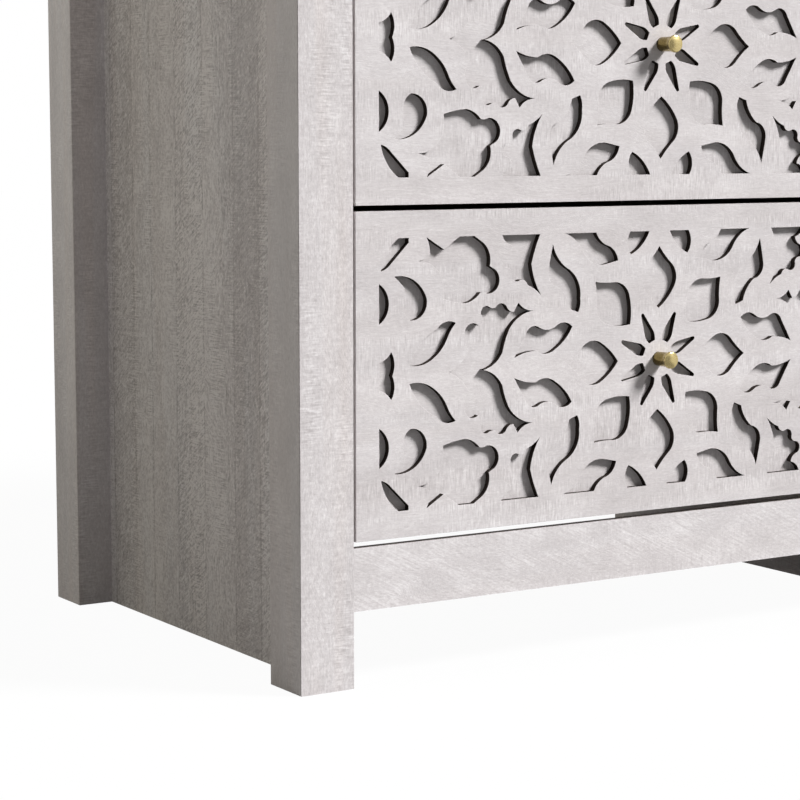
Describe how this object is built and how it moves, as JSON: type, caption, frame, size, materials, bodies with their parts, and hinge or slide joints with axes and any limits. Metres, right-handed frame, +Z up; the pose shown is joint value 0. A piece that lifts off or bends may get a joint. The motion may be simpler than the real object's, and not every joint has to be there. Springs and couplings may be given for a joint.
{
  "type": "dresser",
  "caption": "Free-standing wide dresser: square corner legs, recessed side panels, pierced fretwork drawer fronts with small turned knobs, and drawers on side slides.",
  "frame": {"origin": "on the floor, under the middle of the overall box, knobs and top included", "axes": "+Z up, the front faces -Y, +X to the right of someone facing the front"},
  "size_m": [1.198, 0.417, 0.853],
  "materials": {
    "oak_carcass": "matte sawn-oak laminate",
    "oak_front": "matte sawn-oak laminate",
    "box_board": "matte paper-faced board",
    "hardboard": "smooth hardboard",
    "raw_pine": "planed, unfinished",
    "beech": "fluted dowel, unfinished",
    "brass": "brushed",
    "zinc_steel": "zinc plated"
  },
  "bodies": {
    "carcass": {"top_panel": "oak_carcass", "front_leg_left": "oak_carcass", "front_leg_right": "oak_carcass", "rear_leg_left": "oak_carcass", "rear_leg_right": "oak_carcass", "side_panel_left": "oak_carcass", "side_panel_right": "oak_carcass", "bottom_front_rail": "oak_carcass", "top_front_rail": "oak_carcass", "rear_bottom_rail": "oak_carcass", "rear_top_rail": "oak_carcass", "center_stile": "oak_carcass", "center_partition": "oak_carcass", "back_panel_left": "hardboard", "back_panel_right": "hardboard", "runner_channels": "zinc_steel", "runner_cleats": "raw_pine", "assembly_dowels": "beech"},
    "bottom_left_drawer": {"bottom_left_drawer_front": "oak_front", "bottom_left_drawer_fretwork": "oak_front", "bottom_left_drawer_knob": "brass", "bottom_left_drawer_knob_screw": "zinc_steel", "bottom_left_drawer_box": "box_board", "bottom_left_drawer_bottom": "hardboard", "bottom_left_drawer_runners": "zinc_steel"},
    "bottom_right_drawer": {"bottom_right_drawer_front": "oak_front", "bottom_right_drawer_fretwork": "oak_front", "bottom_right_drawer_knob": "brass", "bottom_right_drawer_knob_screw": "zinc_steel", "bottom_right_drawer_box": "box_board", "bottom_right_drawer_bottom": "hardboard", "bottom_right_drawer_runners": "zinc_steel"},
    "middle_left_drawer": {"middle_left_drawer_front": "oak_front", "middle_left_drawer_fretwork": "oak_front", "middle_left_drawer_knob": "brass", "middle_left_drawer_knob_screw": "zinc_steel", "middle_left_drawer_box": "box_board", "middle_left_drawer_bottom": "hardboard", "middle_left_drawer_runners": "zinc_steel"},
    "middle_right_drawer": {"middle_right_drawer_front": "oak_front", "middle_right_drawer_fretwork": "oak_front", "middle_right_drawer_knob": "brass", "middle_right_drawer_knob_screw": "zinc_steel", "middle_right_drawer_box": "box_board", "middle_right_drawer_bottom": "hardboard", "middle_right_drawer_runners": "zinc_steel"},
    "top_left_drawer": {"top_left_drawer_front": "oak_front", "top_left_drawer_fretwork": "oak_front", "top_left_drawer_knob": "brass", "top_left_drawer_knob_screw": "zinc_steel", "top_left_drawer_box": "box_board", "top_left_drawer_bottom": "hardboard", "top_left_drawer_runners": "zinc_steel"},
    "top_right_drawer": {"top_right_drawer_front": "oak_front", "top_right_drawer_fretwork": "oak_front", "top_right_drawer_knob": "brass", "top_right_drawer_knob_screw": "zinc_steel", "top_right_drawer_box": "box_board", "top_right_drawer_bottom": "hardboard", "top_right_drawer_runners": "zinc_steel"}
  },
  "joints": [
    {"name": "bottom_left_drawer_slide", "type": "slide", "parent": "carcass", "child": "bottom_left_drawer", "axis": [0, -1, 0], "range_m": [0, 0.26]},
    {"name": "bottom_right_drawer_slide", "type": "slide", "parent": "carcass", "child": "bottom_right_drawer", "axis": [0, -1, 0], "range_m": [0, 0.26]},
    {"name": "middle_left_drawer_slide", "type": "slide", "parent": "carcass", "child": "middle_left_drawer", "axis": [0, -1, 0], "range_m": [0, 0.26]},
    {"name": "middle_right_drawer_slide", "type": "slide", "parent": "carcass", "child": "middle_right_drawer", "axis": [0, -1, 0], "range_m": [0, 0.26]},
    {"name": "top_left_drawer_slide", "type": "slide", "parent": "carcass", "child": "top_left_drawer", "axis": [0, -1, 0], "range_m": [0, 0.26]},
    {"name": "top_right_drawer_slide", "type": "slide", "parent": "carcass", "child": "top_right_drawer", "axis": [0, -1, 0], "range_m": [0, 0.26]}
  ]
}
